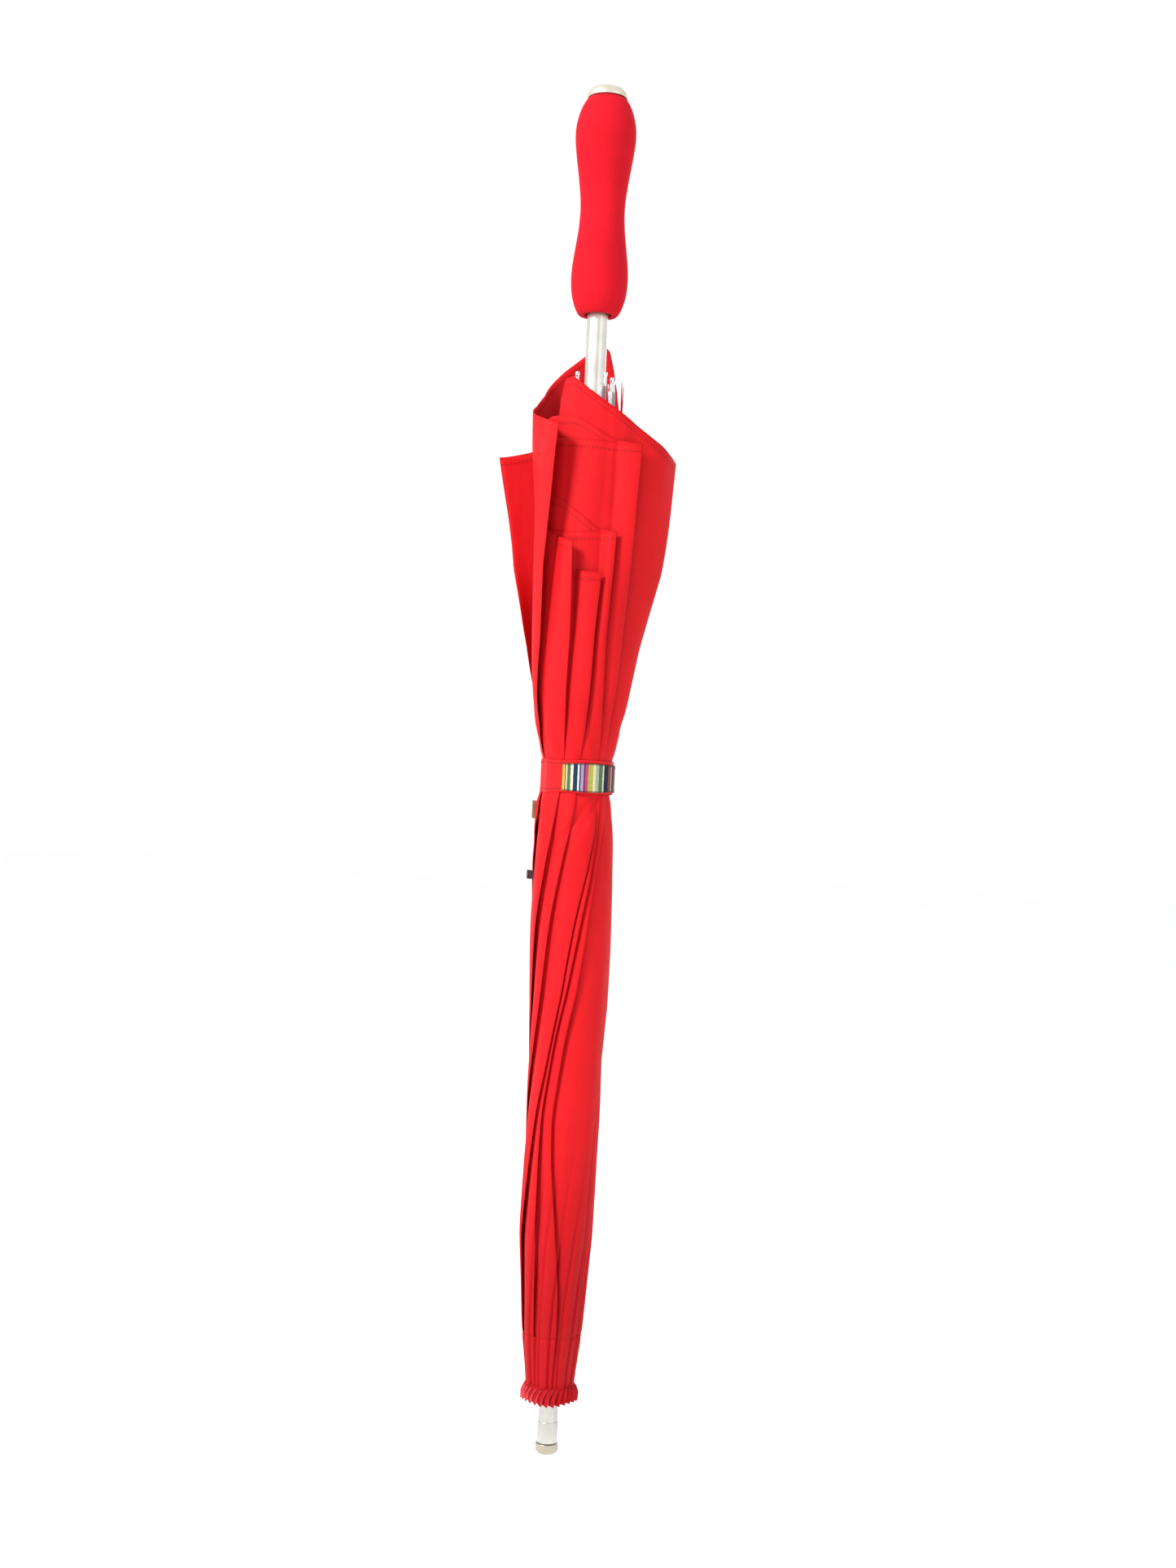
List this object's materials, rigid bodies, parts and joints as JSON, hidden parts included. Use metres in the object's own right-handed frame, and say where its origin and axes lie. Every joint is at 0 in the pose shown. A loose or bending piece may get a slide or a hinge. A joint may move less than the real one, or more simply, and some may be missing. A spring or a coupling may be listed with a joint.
{
  "type": "stick umbrella",
  "caption": "Closed stick umbrella with a shaped foam grip, wrapped fabric canopy, gathered rosette and sliding runner that opens the ribs.",
  "frame": {"origin": "on the shaft's axis in the waist of the grip, where a hand holds it", "axes": "+Z along the shaft from the tip towards the grip's end; -Y is the side where the strap's tab starts; the wrap runs counter-clockwise seen from +Z"},
  "size_m": [0.118, 0.118, 0.922],
  "materials": {
    "shaft_metal": "satin anodised",
    "tip_metal": "dull nickel",
    "core_plastic": "matt",
    "grip_foam": "matt closed-cell foam",
    "cap_metal": "pearl silver",
    "rosette_fabric": "cut woven fabric",
    "frame_steel": "zinc plated",
    "nylon": "moulded",
    "catch_steel": "spring steel",
    "hook_tape": "hook tape",
    "canopy_fabric": "plain woven, slight sheen",
    "striped_fabric": "woven stripes",
    "tan_label": "woven tape",
    "dark_label": "woven tape",
    "bright_metal": "polished"
  },
  "bodies": {
    "root": {"shaft_tube": "shaft_metal", "ferrule_sleeve": "shaft_metal", "ferrule_plug": "tip_metal", "tip_cap": "tip_metal", "handle_core": "core_plastic", "handle_grip": "grip_foam", "handle_end_cap": "cap_metal", "rosette": "rosette_fabric", "crown_washer": "frame_steel", "top_notch": "nylon", "notch_wire": "frame_steel"},
    "runner": {"runner": "nylon"},
    "bottom_catch": {"bottom_catch": "catch_steel"},
    "top_catch": {"top_catch": "catch_steel"},
    "rib_0": {"rib_0": "frame_steel", "rib_tip_0": "bright_metal"},
    "stretcher_0": {"stretcher_0": "frame_steel"},
    "panel_0": {"canopy_panel_0": "canopy_fabric"},
    "rib_1": {"rib_1": "frame_steel", "rib_tip_1": "bright_metal"},
    "stretcher_1": {"stretcher_1": "frame_steel"},
    "panel_1": {"canopy_panel_1": "canopy_fabric"},
    "rib_2": {"rib_2": "frame_steel", "rib_tip_2": "bright_metal"},
    "stretcher_2": {"stretcher_2": "frame_steel"},
    "panel_2": {"canopy_panel_2": "canopy_fabric"},
    "rib_3": {"rib_3": "frame_steel", "rib_tip_3": "bright_metal"},
    "stretcher_3": {"stretcher_3": "frame_steel"},
    "panel_3": {"canopy_panel_3": "canopy_fabric", "care_label": "tan_label", "small_label": "dark_label"},
    "rib_4": {"rib_4": "frame_steel", "rib_tip_4": "bright_metal"},
    "stretcher_4": {"stretcher_4": "frame_steel"},
    "panel_4": {"canopy_panel_4": "canopy_fabric"},
    "rib_5": {"rib_5": "frame_steel", "rib_tip_5": "bright_metal", "strap_band": "canopy_fabric", "hook_patch": "hook_tape"},
    "stretcher_5": {"stretcher_5": "frame_steel"},
    "panel_5": {"canopy_panel_5": "canopy_fabric"},
    "rib_6": {"rib_6": "frame_steel", "rib_tip_6": "bright_metal"},
    "stretcher_6": {"stretcher_6": "frame_steel"},
    "panel_6": {"canopy_panel_6": "canopy_fabric"},
    "rib_7": {"rib_7": "frame_steel", "rib_tip_7": "bright_metal"},
    "stretcher_7": {"stretcher_7": "frame_steel"},
    "panel_7": {"canopy_panel_7": "canopy_fabric"},
    "strap_tab": {"strap_tab": "striped_fabric"}
  },
  "joints": [
    {"name": "runner_slide", "type": "slide", "parent": "root", "child": "runner", "axis": [0, 0, -1], "range_m": [0, 0.39798], "deforming": ["strap_band", "hook_patch", "strap_tab"]},
    {"name": "bottom_catch_press", "type": "slide", "parent": "root", "child": "bottom_catch", "axis": [-0.9945, 0.1045, 0], "range_m": [0, 0.0024], "stiffness_N_per_m": 300},
    {"name": "top_catch_press", "type": "slide", "parent": "root", "child": "top_catch", "axis": [-0.9945, 0.1045, 0], "range_m": [0, 0.0024], "stiffness_N_per_m": 300},
    {"name": "rib_hinge_0", "type": "hinge", "parent": "root", "child": "rib_0", "pos_m": [0.00959, 0.00284, -0.783], "axis": [-0.284, 0.9588, 0], "range_deg": [0, 70]},
    {"name": "elbow_0", "type": "hinge", "parent": "rib_0", "child": "stretcher_0", "pos_m": [0.01122, 0.00332, -0.483], "axis": [-0.284, 0.9588, 0], "range_deg": [-140, 0]},
    {"name": "panel_fold_0", "type": "hinge", "parent": "rib_0", "child": "panel_0", "pos_m": [0.00841, 0.00681, -0.783], "axis": [-0.6525, -0.5284, -0.5432], "range_deg": [0, 50.72]},
    {"name": "rib_hinge_1", "type": "hinge", "parent": "root", "child": "rib_1", "pos_m": [0.00477, 0.00879, -0.783], "axis": [-0.8788, 0.4772, 0], "range_deg": [0, 70]},
    {"name": "elbow_1", "type": "hinge", "parent": "rib_1", "child": "stretcher_1", "pos_m": [0.00558, 0.01028, -0.483], "axis": [-0.8788, 0.4772, 0], "range_deg": [-140, 0]},
    {"name": "panel_fold_1", "type": "hinge", "parent": "rib_1", "child": "panel_1", "pos_m": [0.00113, 0.01076, -0.783], "axis": [-0.0878, -0.835, -0.5432], "range_deg": [0, 50.72]},
    {"name": "rib_hinge_2", "type": "hinge", "parent": "root", "child": "rib_2", "pos_m": [-0.00284, 0.00959, -0.783], "axis": [-0.9588, -0.284, 0], "range_deg": [0, 70]},
    {"name": "elbow_2", "type": "hinge", "parent": "rib_2", "child": "stretcher_2", "pos_m": [-0.00332, 0.01122, -0.483], "axis": [-0.9588, -0.284, 0], "range_deg": [-140, 0]},
    {"name": "panel_fold_2", "type": "hinge", "parent": "rib_2", "child": "panel_2", "pos_m": [-0.00681, 0.00841, -0.783], "axis": [0.5284, -0.6525, -0.5432], "range_deg": [0, 50.72]},
    {"name": "rib_hinge_3", "type": "hinge", "parent": "root", "child": "rib_3", "pos_m": [-0.00879, 0.00477, -0.783], "axis": [-0.4772, -0.8788, 0], "range_deg": [0, 70]},
    {"name": "elbow_3", "type": "hinge", "parent": "rib_3", "child": "stretcher_3", "pos_m": [-0.01028, 0.00558, -0.483], "axis": [-0.4772, -0.8788, 0], "range_deg": [-140, 0]},
    {"name": "panel_fold_3", "type": "hinge", "parent": "rib_3", "child": "panel_3", "pos_m": [-0.01076, 0.00113, -0.783], "axis": [0.835, -0.0878, -0.5432], "range_deg": [0, 50.72]},
    {"name": "rib_hinge_4", "type": "hinge", "parent": "root", "child": "rib_4", "pos_m": [-0.00959, -0.00284, -0.783], "axis": [0.284, -0.9588, 0], "range_deg": [0, 70]},
    {"name": "elbow_4", "type": "hinge", "parent": "rib_4", "child": "stretcher_4", "pos_m": [-0.01122, -0.00332, -0.483], "axis": [0.284, -0.9588, 0], "range_deg": [-140, 0]},
    {"name": "panel_fold_4", "type": "hinge", "parent": "rib_4", "child": "panel_4", "pos_m": [-0.00841, -0.00681, -0.783], "axis": [0.6525, 0.5284, -0.5432], "range_deg": [0, 50.72]},
    {"name": "rib_hinge_5", "type": "hinge", "parent": "root", "child": "rib_5", "pos_m": [-0.00477, -0.00879, -0.783], "axis": [0.8788, -0.4772, 0], "range_deg": [0, 70]},
    {"name": "elbow_5", "type": "hinge", "parent": "rib_5", "child": "stretcher_5", "pos_m": [-0.00558, -0.01028, -0.483], "axis": [0.8788, -0.4772, 0], "range_deg": [-140, 0]},
    {"name": "panel_fold_5", "type": "hinge", "parent": "rib_5", "child": "panel_5", "pos_m": [-0.00113, -0.01076, -0.783], "axis": [0.0878, 0.835, -0.5432], "range_deg": [0, 50.72]},
    {"name": "rib_hinge_6", "type": "hinge", "parent": "root", "child": "rib_6", "pos_m": [0.00284, -0.00959, -0.783], "axis": [0.9588, 0.284, 0], "range_deg": [0, 70]},
    {"name": "elbow_6", "type": "hinge", "parent": "rib_6", "child": "stretcher_6", "pos_m": [0.00332, -0.01122, -0.483], "axis": [0.9588, 0.284, 0], "range_deg": [-140, 0]},
    {"name": "panel_fold_6", "type": "hinge", "parent": "rib_6", "child": "panel_6", "pos_m": [0.00681, -0.00841, -0.783], "axis": [-0.5284, 0.6525, -0.5432], "range_deg": [0, 50.72]},
    {"name": "rib_hinge_7", "type": "hinge", "parent": "root", "child": "rib_7", "pos_m": [0.00879, -0.00477, -0.783], "axis": [0.4772, 0.8788, 0], "range_deg": [0, 70]},
    {"name": "elbow_7", "type": "hinge", "parent": "rib_7", "child": "stretcher_7", "pos_m": [0.01028, -0.00558, -0.483], "axis": [0.4772, 0.8788, 0], "range_deg": [-140, 0]},
    {"name": "panel_fold_7", "type": "hinge", "parent": "rib_7", "child": "panel_7", "pos_m": [0.01076, -0.00113, -0.783], "axis": [-0.835, 0.0878, -0.5432], "range_deg": [0, 50.72]},
    {"name": "strap_tab_peel", "type": "hinge", "parent": "rib_5", "child": "strap_tab", "pos_m": [-0.00948, -0.02346, -0.382], "axis": [0, 0, -1], "range_deg": [0, 80]}
  ],
  "couplings": [
    {"joint": "rib_hinge_0", "follows": "runner_slide", "rad_per_m": 3.0698},
    {"joint": "elbow_0", "follows": "runner_slide", "rad_per_m": -6.1396},
    {"joint": "panel_fold_0", "follows": "runner_slide", "rad_per_m": 2.2242},
    {"joint": "rib_hinge_1", "follows": "runner_slide", "rad_per_m": 3.0698},
    {"joint": "elbow_1", "follows": "runner_slide", "rad_per_m": -6.1396},
    {"joint": "panel_fold_1", "follows": "runner_slide", "rad_per_m": 2.2242},
    {"joint": "rib_hinge_2", "follows": "runner_slide", "rad_per_m": 3.0698},
    {"joint": "elbow_2", "follows": "runner_slide", "rad_per_m": -6.1396},
    {"joint": "panel_fold_2", "follows": "runner_slide", "rad_per_m": 2.2242},
    {"joint": "rib_hinge_3", "follows": "runner_slide", "rad_per_m": 3.0698},
    {"joint": "elbow_3", "follows": "runner_slide", "rad_per_m": -6.1396},
    {"joint": "panel_fold_3", "follows": "runner_slide", "rad_per_m": 2.2242},
    {"joint": "rib_hinge_4", "follows": "runner_slide", "rad_per_m": 3.0698},
    {"joint": "elbow_4", "follows": "runner_slide", "rad_per_m": -6.1396},
    {"joint": "panel_fold_4", "follows": "runner_slide", "rad_per_m": 2.2242},
    {"joint": "rib_hinge_5", "follows": "runner_slide", "rad_per_m": 3.0698},
    {"joint": "elbow_5", "follows": "runner_slide", "rad_per_m": -6.1396},
    {"joint": "panel_fold_5", "follows": "runner_slide", "rad_per_m": 2.2242},
    {"joint": "rib_hinge_6", "follows": "runner_slide", "rad_per_m": 3.0698},
    {"joint": "elbow_6", "follows": "runner_slide", "rad_per_m": -6.1396},
    {"joint": "panel_fold_6", "follows": "runner_slide", "rad_per_m": 2.2242},
    {"joint": "rib_hinge_7", "follows": "runner_slide", "rad_per_m": 3.0698},
    {"joint": "elbow_7", "follows": "runner_slide", "rad_per_m": -6.1396},
    {"joint": "panel_fold_7", "follows": "runner_slide", "rad_per_m": 2.2242}
  ]
}
